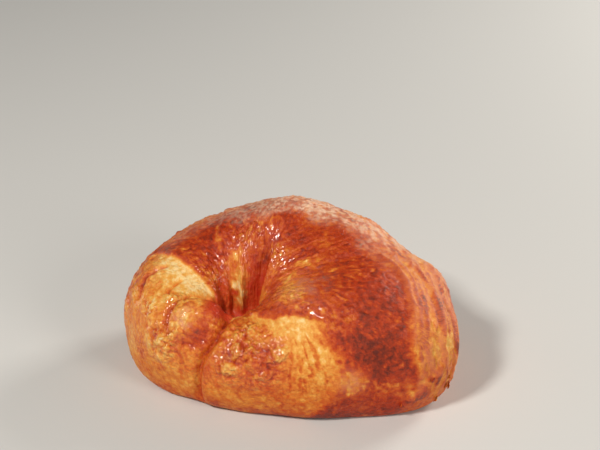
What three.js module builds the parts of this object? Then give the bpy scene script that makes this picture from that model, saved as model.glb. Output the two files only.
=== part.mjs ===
import * as THREE from 'three';

// A croissant: a triangle of layered dough, rolled up and bent round until its two tips press together
// at the front left. Millimetres, +Z up, +X to the right and +Y to the back, with the origin under the
// middle of the base. Its surface is a function of two parameters: the bearing round the ring, in degrees
// with 0 at the right and 90 at the back, and the level along one slice, which runs from the pit's floor
// (0) over the pit's rim (1), the crest (2) and the widest line (3) to the edge of the base (4) and its
// middle (5).

// The ring and the pit that the roll closes round. The pit lies off the ring's middle by its shift, which
// dies out between two levels.
const RING_CENTRE = [-19.3, -8.3];
const PIT_SHIFT = [1.0, -4.5];
const SHIFT_ENDS = [0.9, 2.5];
const PIT_FLOOR = 22;

// Slices through the ring: reach of the side, distance and height of the crest, radius of the pit and
// height of its rim, height of the widest line and radius of the base
const SLICES = [
  { bearing: 0, reach: 81.5, crest: 42, height: 53, pit: 8, rim: 29, belly: 23, foot: 72 },
  { bearing: 25, reach: 71, crest: 38, height: 57.5, pit: 8.5, rim: 28, belly: 25, foot: 61 },
  { bearing: 55, reach: 60, crest: 31, height: 61, pit: 9, rim: 27, belly: 27, foot: 49 },
  { bearing: 90, reach: 53.5, crest: 27, height: 55.6, pit: 9, rim: 27, belly: 26, foot: 44 },
  { bearing: 120, reach: 51.8, crest: 26, height: 50.3, pit: 9, rim: 27, belly: 24, foot: 42 },
  { bearing: 150, reach: 48.2, crest: 25, height: 45.4, pit: 9, rim: 28, belly: 21, foot: 39 },
  { bearing: 180, reach: 42.8, crest: 24, height: 40, pit: 9, rim: 29.5, belly: 18, foot: 34.5 },
  { bearing: 210, reach: 34.5, crest: 20, height: 37, pit: 9, rim: 30, belly: 16, foot: 28 },
  { bearing: 230, reach: 30, crest: 17.5, height: 35.5, pit: 8, rim: 30, belly: 15, foot: 23 },
  { bearing: 250, reach: 30, crest: 15, height: 34, pit: 6, rim: 29, belly: 15, foot: 23 },
  { bearing: 270, reach: 32.5, crest: 14, height: 33.5, pit: 6, rim: 28, belly: 16, foot: 25 },
  { bearing: 300, reach: 42, crest: 21, height: 39, pit: 7, rim: 28, belly: 19, foot: 32 },
  { bearing: 322, reach: 60, crest: 31, height: 47, pit: 8, rim: 29, belly: 22, foot: 48 },
  { bearing: 342, reach: 82, crest: 40, height: 50.5, pit: 8, rim: 29, belly: 23, foot: 72 },
];

// Edges of the rolled layer, each a path of [level, bearing] with the step up onto the upper layer:
// higher is +1 where the upper layer lies at larger bearings
const WRAP_EDGES = [
  { height: 1.6, higher: 1, reach: 9, half: 1.2, path: [[1.1, 284], [1.7, 285], [1.95, 288], [2.05, 296],
    [2.15, 306], [2.33, 314], [2.5, 315.5], [2.7, 315.5], [2.85, 314.5], [3.1, 312.5], [3.7, 308]] },
  { height: 2.2, higher: -1, reach: 8, half: 1.2, path: [[1.0, 157], [1.4, 161], [1.8, 156], [2.25, 150],
    [2.6, 147]] },
  { height: 1.4, higher: -1, reach: 7, half: 1.1, path: [[1.2, 117], [1.5, 118], [1.75, 117], [1.95, 108],
    [2.4, 98], [3.0, 93], [3.8, 90]] },
  { height: 1.2, higher: 1, reach: 7, half: 1.2, path: [[1.5, 350], [1.9, 358], [2.1, 360], [2.24, 356],
    [2.35, 347], [2.47, 340.5], [2.68, 334.5], [2.88, 332.5], [3.1, 333], [3.4, 333], [3.8, 331]] },
  { height: 4.0, higher: -1, reach: 8, half: 1.2, path: [[0.7, 12], [1.0, 16], [1.3, 27], [1.5, 36],
    [1.8, 44]] },
  { height: 1.6, higher: 1, reach: 6, half: 1.2, path: [[2.0, 368], [2.27, 361], [2.47, 355], [2.65, 345],
    [3.0, 339], [3.6, 331]] },
  { height: 1.3, higher: 1, reach: 5, half: 1.2, path: [[2.2, 377], [2.5, 363], [2.71, 352], [2.82, 348],
    [3.2, 344], [3.7, 341]] },
  { height: 1.4, higher: -1, reach: 7, half: 1.2, path: [[2.0, 64], [2.4, 58], [3.0, 49], [3.7, 42]] },
];
const FLANK_EDGE = WRAP_EDGES[3].path;

// An edge fades in and out over this much of a level at its two ends
const EDGE_FADE = 0.5;

// The line where the two tips meet: a groove beside it, and a lip that sinks back over its reach
const SEAM = {
  depth: 2.6, width: 2.4, aside: 0.8, lip: 1.0, half: 2, reach: 9,
  path: [[1.5, 262], [2.0, 258], [2.25, 255], [2.55, 250], [2.75, 244], [3.0, 242], [3.3, 241], [3.8, 243]],
};

// Creases in the crust, each a path of [bearing, level]
const CREASES = [
  { depth: 1.3, width: 1.5, path: [[161, 2.14], [168, 2.33], [173, 2.41], [179, 2.5]] },
  { depth: 1.1, width: 1.5, path: [[172, 1.9], [180.6, 2.03], [188, 2.14]] },
  { depth: 1.3, width: 1.8, path: [[178, 1.36], [191, 1.72], [201, 2.06], [207, 2.4], [212, 2.52]] },
  { depth: 0.5, width: 1.8, path: [[213, 2.55], [218, 2.63], [224, 2.65], [234, 2.59], [244, 2.43]] },
];

// The left tip, a knob of dough that rises round a path of [bearing, level]
const KNOB = { radius: 7.2, rise: 2.6, roundness: 1.1, path: [[219, 2.27], [221, 2.12], [226, 1.92]] };

// Folds down the inner wall, where the roll is squeezed together: bearing, half width, height and the
// levels between which they show, each fading over the levels before and after that FOLD_FADE gives
const FOLD_FADE = { before: 0.3, after: 0.4, last: 0.5 };
const FOLDS = [
  { bearing: 52, half: 11, height: -2.4, low: 0.6, high: 1.7 },
  { bearing: 88, half: 9, height: 2.6, low: 0.5, high: 1.7 },
  { bearing: 110, half: 7, height: -1.4, low: 0.5, high: 1.7 },
  { bearing: 121, half: 5, height: 0.8, low: 0.7, high: 1.7 },
  { bearing: 137, half: 9, height: -1.4, low: 0.6, high: 1.6 },
];

// Broad swellings and hollows of the outline: bearing, level, radius and height
const SWELLINGS = [
  { bearing: 3, level: 2.63, radius: 9, height: 2.6 },
  { bearing: 24, level: 2.25, radius: 12, height: 0.5 },
  { bearing: 338, level: 3.3, radius: 12, height: 0.8 },
];

// Layers that show along the right flank and the back: their height, how fast they follow each other, how
// far past the flank's edge they fade in and out in degrees, and between which levels
const FLANK = {
  height: 0.5, perDegree: 12, sway: 50, perLevel: 2.2, spread: 0.04, sharpness: 0.7, sunk: 0.6,
  from: [1, 5], to: [55, 85], over: [2.15, 2.45], under: [3.2, 3.7],
};

// The slow unevenness of the whole crust: its height, the levels where it sets in, and the three waves that
// make it, each with its share, the lengths it takes to swing by a radian and where it starts
const UNEVEN = 0.45;
const UNEVEN_ENDS = [0.8, 1.6];
const BROAD_WAVE = { x: 11, startX: 1.3, y: 9, startY: 0.4 };
const SLANTED_WAVE = { share: 0.7, x: -8, y: 6.5, z: 7, start: 2 };
const SHORT_WAVE = { share: 0.5, x: 5.2, z: 6.1 };

// All relief sets in above the pit's floor and dies out at the edge of the base
const RELIEF_ENDS = { pit: [0.3, 0.9], base: [3.55, 3.95] };

const SIZES = ['reach', 'crest', 'height', 'pit', 'rim', 'belly', 'foot'];

// How many points a path is laid out with
const PATH_POINTS = 48;

// How finely the surface is cut: columns round the ring, closer together by crowd degrees where the ring
// reaches far, and drawn onto the seam within its pull, and rows between whole levels
const COLUMNS = 112;
const CROWD = 20;
const PULL = { bearing: 250, half: 25 };
const ROWS = [4, 10, 13, 10, 2];

const CRUST = new THREE.MeshStandardMaterial({
  name: 'crust', color: 0xb9662f, roughness: 0.45, metalness: 0,
});

const radians = THREE.MathUtils.degToRad;
const smooth = (from, to, x) => THREE.MathUtils.smoothstep(x, from, to);
const bell = (distance, width) => Math.exp(-((distance / width) ** 2));
const turn = (degrees) => THREE.MathUtils.euclideanModulo(degrees + 180, 360) - 180;

// A cubic piece from a to b over the span h, with the slopes ma and mb at its ends
function cubic(t, h, a, b, ma, mb) {
  const t2 = t * t;
  const t3 = t2 * t;
  const ends = (2 * t3 - 3 * t2 + 1) * a + (3 * t2 - 2 * t3) * b;
  return ends + (t3 - 2 * t2 + t) * h * ma + (t3 - t2) * h * mb;
}

// One size of the slices, carried smoothly round the ring
function around(bearing, size) {
  const count = SLICES.length;
  const at = THREE.MathUtils.euclideanModulo(bearing, 360);
  const i = SLICES.findLastIndex((slice) => slice.bearing <= at);
  const slice = (k) => SLICES[THREE.MathUtils.euclideanModulo(k, count)];
  const gap = (a, b) => THREE.MathUtils.euclideanModulo(slice(b).bearing - slice(a).bearing, 360);
  const slope = (k) => (slice(k + 1)[size] - slice(k - 1)[size]) / gap(k - 1, k + 1);
  const span = gap(i, i + 1);
  const share = (at - slice(i).bearing) / span;
  return cubic(share, span, slice(i)[size], slice(i + 1)[size], slope(i), slope(i + 1));
}

// The value at x of a smooth curve through the points [x, value], held level past its ends
function through(points, x) {
  const last = points.length - 1;
  const at = THREE.MathUtils.clamp(x, points[0][0], points[last][0]);
  const i = Math.min(points.findLastIndex((point) => point[0] <= at), last - 1);
  const rise = (k) => (points[k + 1][1] - points[k][1]) / (points[k + 1][0] - points[k][0]);
  const slope = (k) => {
    if (k === 0) return rise(0);
    if (k === last) return rise(last - 1);
    const before = points[k][0] - points[k - 1][0];
    const after = points[k + 1][0] - points[k][0];
    return (rise(k - 1) * after + rise(k) * before) / (before + after);
  };
  const span = points[i + 1][0] - points[i][0];
  return cubic((at - points[i][0]) / span, span, points[i][1], points[i + 1][1], slope(i), slope(i + 1));
}

// A point of the plain form, pushed outwards by lift: each whole level is a quarter of an ellipse
function place(bearing, level, lift = 0) {
  const [reach, crest, height, pit, rim, belly, foot] = SIZES.map((size) => around(bearing, size));
  const stretch = Math.min(Math.floor(level), 4);
  const s = Math.sin((level - stretch) * Math.PI / 2);
  const c = Math.cos((level - stretch) * Math.PI / 2);
  const wall = rim - PIT_FLOOR;
  const inside = crest - pit;
  const rise = height - rim;
  const outside = reach - crest;
  const drop = height - belly;
  const tuck = reach - foot;
  const arcs = [
    { r: pit * s, z: PIT_FLOOR + wall * (1 - c), nr: -s * wall, nz: c * pit },
    { r: crest - inside * c, z: rim + rise * s, nr: -c * rise, nz: s * inside },
    { r: crest + outside * s, z: belly + drop * c, nr: s * drop, nz: c * outside },
    { r: foot + tuck * c, z: belly * (1 - s), nr: c * belly, nz: -s * tuck },
    { r: foot * (5 - level), z: 0, nr: 0, nz: -1 },
  ];
  const arc = arcs[stretch];
  const length = Math.hypot(arc.nr, arc.nz);
  const r = arc.r + lift * arc.nr / length;
  const inward = 1 - smooth(...SHIFT_ENDS, level);
  return new THREE.Vector3(
    RING_CENTRE[0] + r * Math.cos(radians(bearing)) + PIT_SHIFT[0] * inward,
    RING_CENTRE[1] + r * Math.sin(radians(bearing)) + PIT_SHIFT[1] * inward,
    arc.z + lift * arc.nz / length,
  );
}

// The distance from a point to a line through a row of points
function distanceTo(line, point) {
  const piece = new THREE.Line3();
  const nearest = new THREE.Vector3();
  let best = Infinity;
  for (let i = 1; i < line.length; i += 1) {
    piece.set(line[i - 1], line[i]).closestPointToPoint(point, true, nearest);
    best = Math.min(best, nearest.distanceTo(point));
  }
  return best;
}

// A path of [level, bearing] laid on the plain form
function layEdge(path) {
  const low = path[0][0];
  const high = path[path.length - 1][0];
  const line = Array.from({ length: PATH_POINTS }, (_, i) => {
    const level = low + (high - low) * i / (PATH_POINTS - 1);
    return place(through(path, level), level);
  });
  return { path, line, low, high };
}

// A crease's path laid on the plain form
function layCrease(crease) {
  const line = Array.from({ length: PATH_POINTS }, (_, i) => {
    const t = (crease.path.length - 1) * i / (PATH_POINTS - 1);
    const bearing = through(crease.path.map((point, k) => [k, point[0]]), t);
    const level = through(crease.path.map((point, k) => [k, point[1]]), t);
    return place(bearing, level);
  });
  return { ...crease, line };
}

// Signed distance from an edge, more than 0 at larger bearings, and how far the edge has faded in
function fromEdge(edge, bearing, level, point) {
  const side = Math.sign(turn(bearing - through(edge.path, level)));
  const begun = smooth(edge.low, edge.low + EDGE_FADE, level);
  const ended = smooth(edge.high - EDGE_FADE, edge.high, level);
  return [side * distanceTo(edge.line, point), begun * (1 - ended)];
}

const edges = WRAP_EDGES.map((edge) => ({ ...edge, ...layEdge(edge.path) }));
const seam = layEdge(SEAM.path);
const creases = CREASES.map(layCrease);
const swellings = SWELLINGS.map((swelling) => (
  { ...swelling, centre: place(swelling.bearing, swelling.level) }));
const knob = layCrease(KNOB);

function stepHeight(bearing, level, point) {
  return edges.reduce((sum, edge) => {
    const [offset, shown] = fromEdge(edge, bearing, level, point);
    const d = offset * edge.higher;
    return sum + 0.5 * edge.height * Math.tanh(d / edge.half) * Math.exp(-Math.abs(d) / edge.reach) * shown;
  }, 0);
}

function seamHeight(bearing, level, point) {
  const [d, shown] = fromEdge(seam, bearing, level, point);
  const groove = -SEAM.depth * bell(d + SEAM.aside, SEAM.width);
  return shown * (groove + SEAM.lip * Math.tanh(d / SEAM.half) * Math.exp(-Math.abs(d) / SEAM.reach));
}

function foldHeight(bearing, level) {
  return FOLDS.reduce((sum, fold) => {
    const begun = smooth(fold.low - FOLD_FADE.before, fold.low + FOLD_FADE.after, level);
    const ended = smooth(fold.high - FOLD_FADE.last, fold.high, level);
    return sum + fold.height * bell(turn(bearing - fold.bearing), fold.half) * begun * (1 - ended);
  }, 0);
}

function flankHeight(bearing, level) {
  const past = turn(bearing - through(FLANK_EDGE, level));
  const along = smooth(...FLANK.from, past) * (1 - smooth(...FLANK.to, past));
  const shown = along * smooth(...FLANK.over, level) * (1 - smooth(...FLANK.under, level));
  const sway = FLANK.sway * Math.sin(FLANK.perLevel * level);
  const phase = past * FLANK.perDegree + sway - past * past * FLANK.spread;
  return FLANK.height * shown * (Math.abs(Math.sin(radians(phase))) ** FLANK.sharpness - FLANK.sunk);
}

function knobHeight(point) {
  const share = Math.min(distanceTo(knob.line, point) / KNOB.radius, 1);
  return KNOB.rise * (1 - share ** 2) ** KNOB.roundness;
}

function unevenHeight(point, level) {
  const { x, y, z } = point;
  const broad = swellings.reduce((sum, { centre, radius, height }) => (
    sum + height * bell(point.distanceTo(centre), radius)), 0);
  const acrossX = Math.sin(x / BROAD_WAVE.x + BROAD_WAVE.startX);
  const acrossY = Math.sin(y / BROAD_WAVE.y + BROAD_WAVE.startY);
  const slant = x / SLANTED_WAVE.x + y / SLANTED_WAVE.y + z / SLANTED_WAVE.z + SLANTED_WAVE.start;
  const short = x / SHORT_WAVE.x + z / SHORT_WAVE.z;
  const waves = acrossX * acrossY + SLANTED_WAVE.share * Math.sin(slant) + SHORT_WAVE.share * Math.sin(short);
  return broad + UNEVEN * waves * smooth(...UNEVEN_ENDS, level);
}

// A point of the crust, with all its relief
function crust(bearing, level) {
  const plain = place(bearing, level);
  const fade = smooth(...RELIEF_ENDS.pit, level) * (1 - smooth(...RELIEF_ENDS.base, level));
  const creaseDepth = creases.reduce((sum, crease) => (
    sum + crease.depth * bell(distanceTo(crease.line, plain), crease.width)), 0);
  const relief = stepHeight(bearing, level, plain) + seamHeight(bearing, level, plain) - creaseDepth
    + knobHeight(plain) + foldHeight(bearing, level) + flankHeight(bearing, level)
    + unevenHeight(plain, level);
  const point = place(bearing, level, relief * fade);
  point.z = Math.max(point.z, 0);
  return point;
}

// The bearing of a column at a level
function columnBearing(column, level) {
  const even = 360 * column / COLUMNS;
  const bearing = even - CROWD * Math.sin(radians(even));
  const aside = through(SEAM.path, level) - PULL.bearing;
  return bearing + aside * bell(turn(bearing - PULL.bearing), PULL.half);
}

// The closed skin: one point at the pit's floor, rings of points, and one point at the middle of the base
function croissantGeometry() {
  const rowLevels = (rows, whole) => Array.from({ length: rows }, (_, i) => whole + i / rows);
  const levels = ROWS.flatMap(rowLevels).slice(1);
  const points = [crust(0, 0)];
  for (const level of levels) {
    for (let column = 0; column < COLUMNS; column += 1) {
      points.push(crust(columnBearing(column, level), level));
    }
  }
  points.push(crust(0, 5));
  const last = points.length - 1;
  const index = (row, column) => 1 + row * COLUMNS + column % COLUMNS;
  const faces = [];
  for (let column = 0; column < COLUMNS; column += 1) {
    faces.push(0, index(0, column), index(0, column + 1));
    for (let row = 0; row < levels.length - 1; row += 1) {
      const a = index(row, column);
      const b = index(row, column + 1);
      const c = index(row + 1, column + 1);
      const d = index(row + 1, column);
      faces.push(a, d, c, a, c, b);
    }
    faces.push(last, index(levels.length - 1, column + 1), index(levels.length - 1, column));
  }
  const geometry = new THREE.BufferGeometry().setFromPoints(points);
  geometry.setIndex(faces);
  geometry.computeVertexNormals();
  return geometry;
}

const model = new THREE.Group();
const croissant = new THREE.Mesh(croissantGeometry(), CRUST);
croissant.name = 'croissant';
model.add(croissant);

export default model;
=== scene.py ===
# %% [markdown]
# A croissant, finished for the camera.
#
# The real thing is a triangle of layered dough, rolled up, brushed with egg and bent round until its two
# tips press together. The solid model already has that form. What it lacks is the skin: blisters, fibres
# that ran down into the dimple, the crisp edges of each wrap, and a crust that goes from butter yellow to
# almost purple brown. This lesson makes that skin as one fine mesh, worked out with numpy as a function of
# two parameters.

# %% Load the model and keep its box
import math

import bpy
import numpy as np
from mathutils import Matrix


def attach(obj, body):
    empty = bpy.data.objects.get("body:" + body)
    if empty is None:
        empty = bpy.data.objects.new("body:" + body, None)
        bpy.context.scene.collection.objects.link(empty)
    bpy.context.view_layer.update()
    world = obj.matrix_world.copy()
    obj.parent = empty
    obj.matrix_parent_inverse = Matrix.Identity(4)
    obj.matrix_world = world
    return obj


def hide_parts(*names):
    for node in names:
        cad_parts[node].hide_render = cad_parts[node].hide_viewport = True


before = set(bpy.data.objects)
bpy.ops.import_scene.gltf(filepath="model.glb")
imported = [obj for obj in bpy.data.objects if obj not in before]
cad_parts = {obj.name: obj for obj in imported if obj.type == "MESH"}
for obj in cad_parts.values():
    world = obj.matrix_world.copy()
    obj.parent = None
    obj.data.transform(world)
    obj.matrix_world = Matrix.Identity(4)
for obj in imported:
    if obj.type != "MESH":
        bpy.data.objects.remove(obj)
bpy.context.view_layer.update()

MM = 0.001

# %% [markdown]
# Small tools for curves. The form is drawn from a few sizes, so a smooth ramp, its mirror image, a
# bell and a cubic curve through a few points carry it. All of them take whole arrays.


# %% Curve helpers
def smooth(start, end, x):
    """0 before start, 1 after end, and 3 t^2 - 2 t^3 between, with t the share of the way."""
    t = np.clip((x - start) / (end - start), 0.0, 1.0)
    return t * t * (3.0 - 2.0 * t)


def fade(start, end, x):
    """1 before start, 0 after end, and smooth between."""
    return 1.0 - smooth(start, end, x)


def within(rise_from, rise_to, fall_from, fall_to, x):
    """1 in the middle, with a smooth rise from 0 before it and a smooth fall to 0 after it."""
    return smooth(rise_from, rise_to, x) * fade(fall_from, fall_to, x)


def bell(distance, width):
    """1 at distance 0, falling as e to the minus (distance / width) squared."""
    return np.exp(-(distance / width) ** 2)


def turn(degrees):
    """An angle brought to between -180 and 180 degrees."""
    return (degrees + 180.0) % 360.0 - 180.0


def cubic(t, span, a, b, slope_a, slope_b):
    """The cubic from a to b over a span, with the given slopes at its ends, at share t."""
    t2, t3 = t * t, t * t * t
    ends = (2 * t3 - 3 * t2 + 1) * a + (3 * t2 - 2 * t3) * b
    return ends + (t3 - 2 * t2 + t) * span * slope_a + (t3 - t2) * span * slope_b


def through(points, x):
    """The value at x of a smooth curve through the points (x, value), held level past its ends."""
    xs, values = np.asarray(points, float).T
    slopes = np.gradient(values, xs)
    x = np.clip(x, xs[0], xs[-1])
    i = np.clip(np.searchsorted(xs, x, side="right") - 1, 0, len(xs) - 2)
    span = xs[i + 1] - xs[i]
    return cubic((x - xs[i]) / span, span, values[i], values[i + 1], slopes[i], slopes[i + 1])


print("a smooth ramp from 0 to 1, at its quarters:", smooth(0, 1, np.linspace(0, 1, 5)).round(2))

# %% [markdown]
# The plain form is the same as the solid's: slices through a ring. Each slice runs from the floor of the
# dimple (level 0) over its rim (1), the crest (2) and the widest line (3) to the edge of the flat base (4)
# and the middle of the base (5), and every whole level is a quarter of an ellipse. A function of bearing and
# level like this beats sculpting here, because each wrinkle and each patch of colour can be placed by the
# same two numbers.

# %% Slices round the ring, in millimetres
RING_CENTRE = (-19.3, -8.3)
PIT_SHIFT = (1.0, -4.5)
PIT_SHIFT_FADES = (0.9, 2.5)
PIT_FLOOR = 22.0

SLICES = np.array([
    # bearing (0 right, 90 back), reach, crest's distance and height, dimple's radius, its rim's height,
    # height of the widest line, distance of the base's edge
    (0, 81.5, 42, 53, 8, 29, 23, 72),
    (25, 71, 38, 57.5, 8.5, 28, 25, 61),
    (55, 60, 31, 61, 9, 27, 27, 49),
    (90, 53.5, 27, 55.6, 9, 27, 26, 44),
    (120, 51.8, 26, 50.3, 9, 27, 24, 42),
    (150, 48.2, 25, 45.4, 9, 28, 21, 39),
    (180, 42.8, 24, 40, 9, 29.5, 18, 34.5),
    (210, 34.5, 20, 37, 9, 30, 16, 28),
    (230, 30, 17.5, 35.5, 8, 30, 15, 23),
    (250, 30, 15, 34, 6, 29, 15, 23),
    (270, 32.5, 14, 33.5, 6, 28, 16, 25),
    (300, 42, 21, 39, 7, 28, 19, 32),
    (322, 60, 31, 47, 8, 29, 22, 48),
    (342, 82, 40, 50.5, 8, 29, 23, 72),
], float)


def around(bearing, column):
    """One size of the slices, carried round the ring by a cubic whose slopes join each slice's neighbours."""
    at, values = SLICES[:, 0], SLICES[:, column]
    count = len(at)
    bearing = np.mod(bearing, 360.0)
    i = np.mod(np.searchsorted(at, bearing, side="right") - 1, count)
    j = np.mod(i + 1, count)

    def slope(k):
        """The slope at slice k, from the slice before it to the one after it."""
        before, after = np.mod(k - 1, count), np.mod(k + 1, count)
        return (values[after] - values[before]) / np.mod(at[after] - at[before], 360.0)

    span = np.mod(at[j] - at[i], 360.0)
    share = np.mod(bearing - at[i], 360.0) / span
    return cubic(share, span, values[i], values[j], slope(i), slope(j))


def place(bearing, level, lift=0.0):
    """A point of the plain form, moved outward by lift: quarter ellipses joined at whole levels."""
    reach, crest, height, pit, rim, belly, foot = (around(bearing, column) for column in range(1, 8))
    stretch = np.clip(np.floor(level), 0, 4)
    s = np.sin((level - stretch) * math.pi / 2)
    c = np.cos((level - stretch) * math.pi / 2)
    which = [stretch == k for k in range(4)]
    wall = rim - PIT_FLOOR
    r = np.select(which, [pit * s, crest - (crest - pit) * c, crest + (reach - crest) * s,
                          foot + (reach - foot) * c], foot * (5 - level))
    z = np.select(which, [PIT_FLOOR + wall * (1 - c), rim + (height - rim) * s,
                          belly + (height - belly) * c, belly * (1 - s)], 0.0)
    out = np.select(which, [-s * wall, -c * (height - rim), s * (height - belly), c * belly], 0.0)
    up = np.select(which, [c * pit, s * (crest - pit), c * (reach - crest), -s * (reach - foot)], -1.0)
    length = np.hypot(out, up)
    r = r + lift * out / length
    inward = fade(*PIT_SHIFT_FADES, level)
    x = RING_CENTRE[0] + r * np.cos(np.radians(bearing)) + PIT_SHIFT[0] * inward
    y = RING_CENTRE[1] + r * np.sin(np.radians(bearing)) + PIT_SHIFT[1] * inward
    return np.stack([x, y, z + lift * up / length], axis=-1)


print("crest at the back, in mm:", place(np.array(90.0), np.array(2.0)).round(1))

# %% [markdown]
# The skin needs one dense grid. Columns crowd together where the ring reaches far, so that the cells stay
# about half a millimetre everywhere that shows, and the flat base gets only a few rows.

# %% The grid of bearings and levels
COLUMNS = 560
CROWD = 20.0
ROWS = (8, 46, 70, 38, 6)

even = np.arange(COLUMNS) * 360.0 / COLUMNS
columns = even - CROWD * np.sin(np.radians(even))
levels = np.concatenate([whole + np.arange(rows) / rows for whole, rows in enumerate(ROWS)])[1:]
bearing, level = np.meshgrid(columns, levels, indexing="ij")
full_bearing = np.mod(bearing, 360.0)
plain = place(bearing, level)


def from_bearing(at):
    """How far every grid point is round the ring from a bearing, from -180 to 180 degrees."""
    return turn(bearing - at)


print("grid:", plain.shape[:2], "cells:", plain.shape[0] * plain.shape[1])

# %% [markdown]
# Bread is uneven at every scale. The usual recipe is noise: random numbers on a lattice, joined smoothly.
# Here it is written out in numpy, so that the mesh itself can carry it and every run gives the same crust.

# %% Noise worked out on whole arrays
MASK = 0xFFFFFFFF
INDEX_MIX = (374761393, 668265263, 1440662683)
SEED_MIX = 362437
SHUFFLES = ((13, 1274126177), (15, 2246822519))


def lattice(cell, seed):
    """A number from -1 to 1 for each lattice cell, from mixing the bits of its three indices and the seed."""
    i, j, k = (cell[..., axis].astype(np.int64) & MASK for axis in range(3))
    mixed = (i * INDEX_MIX[0] + j * INDEX_MIX[1] + k * INDEX_MIX[2] + seed * SEED_MIX) & MASK
    for shift, factor in SHUFFLES:
        mixed = ((mixed ^ (mixed >> shift)) * factor) & MASK
    return (mixed ^ (mixed >> 16)) / (0.5 * MASK) - 1.0


def noise(points, size, seed):
    """Smooth noise of about -1 to 1: the numbers at a cell's corners, blended by 6t^5 - 15t^4 + 10t^3."""
    scaled = points / size
    cell = np.floor(scaled)
    t = scaled - cell
    t = t * t * t * (t * (6 * t - 15) + 10)
    total = np.zeros(points.shape[:-1])
    for corner in np.ndindex(2, 2, 2):
        share = np.prod(np.where(corner, t, 1 - t), axis=-1)
        total += share * lattice(cell + corner, seed)
    return total


def layered(points, size, seed, octaves=3):
    """Noise at size, half the size and so on, each at half the strength of the one before."""
    parts = [0.5 ** octave for octave in range(octaves)]
    return sum(part * noise(points, size * part, seed + 17 * k) for k, part in enumerate(parts)) / sum(parts)


def ridges(points, size, seed, octaves=2):
    """Thin raised lines where layered noise passes through 0, from 0 between them to 1 on them."""
    return np.clip(1.0 - 3.0 * np.abs(layered(points, size, seed, octaves)), 0.0, 1.0)


def cells(points, size, seed):
    """Rounded cells: the distance to the second nearest of many points, less that to the nearest."""
    scaled = points / size
    cell = np.floor(scaled)
    nearest = np.full(points.shape[:-1], np.inf)
    second = nearest.copy()
    for neighbour in np.ndindex(3, 3, 3):
        other = cell + neighbour - 1
        centre = other + 0.5 + 0.45 * np.stack([lattice(other, seed + k) for k in range(3)], axis=-1)
        distance = np.linalg.norm(scaled - centre, axis=-1)
        second = np.minimum(second, np.maximum(nearest, distance))
        nearest = np.minimum(nearest, distance)
    return second - nearest


wander = 0.8 * layered(plain, 5.0, 3)
patchy = layered(plain, 9.0, 21, 3)
print("the edges wander by up to", round(float(np.abs(wander).max()), 2), "mm")

# %% [markdown]
# Streaks are noise too, on coordinates that are squeezed one way. Two kinds are needed: streaks that follow
# the ring and its slices, and streaks that run parallel to an edge.

# %% Streaks
LEVEL_LENGTH = 30.0
angle = np.radians(bearing)


def flow(across, along):
    """Coordinates that go round the ring and down the slice, stretched by across and along."""
    return np.stack([across * np.cos(angle), across * np.sin(angle), along * LEVEL_LENGTH * level], axis=-1)


def beside(distance, along, size, seed):
    """Noise in long streaks that run parallel to an edge, across it by distance and along it by level."""
    return noise(np.stack([distance, along * LEVEL_LENGTH * level, 0.0 * level], axis=-1), size, seed)


wobble = np.stack([layered(plain, 4.0, seed, 2) for seed in (40, 41, 42)], axis=-1)
bent = plain + 1.6 * wobble
round_streaks = noise(flow(9.0, 1.0), 0.9, 18) + 0.7 * noise(flow(16.0, 1.6), 0.8, 19)
front_streaks = noise(flow(44.0, 0.11) + 0.8 * wobble, 1.0, 33)
front_streaks += 0.6 * noise(flow(44.0, 0.2) + 0.8 * wobble, 0.6, 34)
print("streaks reach", round(float(round_streaks.max()), 2), "and", round(float(front_streaks.max()), 2))

# %% [markdown]
# The wraps end in edges that step down onto the layer below. Each is a path on the form, given by a few
# pairs of level and bearing, and the step follows the signed distance from it. Measuring the distance in
# space, rather than in degrees, keeps an edge equally crisp where it runs along the ring and where it runs
# across it.

# %% Paths on the form, and distances from them
FRONT_EDGE = [(1.1, 284), (1.7, 285), (1.95, 288), (2.05, 296), (2.15, 306), (2.33, 314), (2.5, 315.5),
              (2.7, 315.5), (2.85, 314.5), (3.1, 312.5), (3.7, 308)]
LEFT_EDGE = [(1.0, 157), (1.4, 161), (1.8, 156), (2.25, 150), (2.8, 146), (3.3, 144), (3.8, 143)]
REAR_EDGE = [(1.2, 117), (1.5, 118), (1.75, 117), (1.95, 108), (2.4, 98), (3.0, 93), (3.8, 90)]
RIGHT_EDGE = [(1.5, 350), (1.9, 358), (2.1, 360), (2.24, 356), (2.35, 347), (2.47, 340.5), (2.68, 334.5),
              (2.88, 332.5), (3.1, 333), (3.4, 333), (3.8, 331)]
PLEAT = [(0.7, 12), (1.0, 16), (1.3, 27), (1.5, 36), (1.8, 44)]
FLANK_EDGE = [(2.0, 368), (2.27, 361), (2.47, 355), (2.65, 345), (3.0, 339), (3.6, 331)]
OUTER_EDGE = [(2.2, 377), (2.5, 363), (2.71, 352), (2.82, 348), (3.2, 344), (3.7, 341)]
BACK_EDGE = [(2.0, 64), (2.4, 58), (3.0, 49), (3.7, 42)]
SEAM = [(1.5, 262), (2.0, 258), (2.25, 255), (2.55, 250), (2.75, 244), (3.0, 242), (3.3, 241), (3.8, 243)]
PATH_STEPS = 48
EDGE_FADE = 0.5


def distance_to(line):
    """The distance of every grid point from a line through a row of points, by the nearest of its pieces."""
    best = np.full(plain.shape[:2], np.inf)
    for a, b in zip(line[:-1], line[1:]):
        along = b - a
        t = np.clip((plain - a) @ along / (along @ along), 0.0, 1.0)
        best = np.minimum(best, np.linalg.norm(plain - a - t[..., None] * along, axis=-1))
    return best


def from_edge(path):
    """Signed distance from an edge, positive at larger bearings, and how much of it shows at each level."""
    low, high = path[0][0], path[-1][0]
    along = np.linspace(low, high, PATH_STEPS)
    side = np.sign(from_bearing(through(path, level)))
    shown = within(low, low + EDGE_FADE, high - EDGE_FADE, high, level)
    return side * distance_to(place(through(path, along), along)), shown


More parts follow.
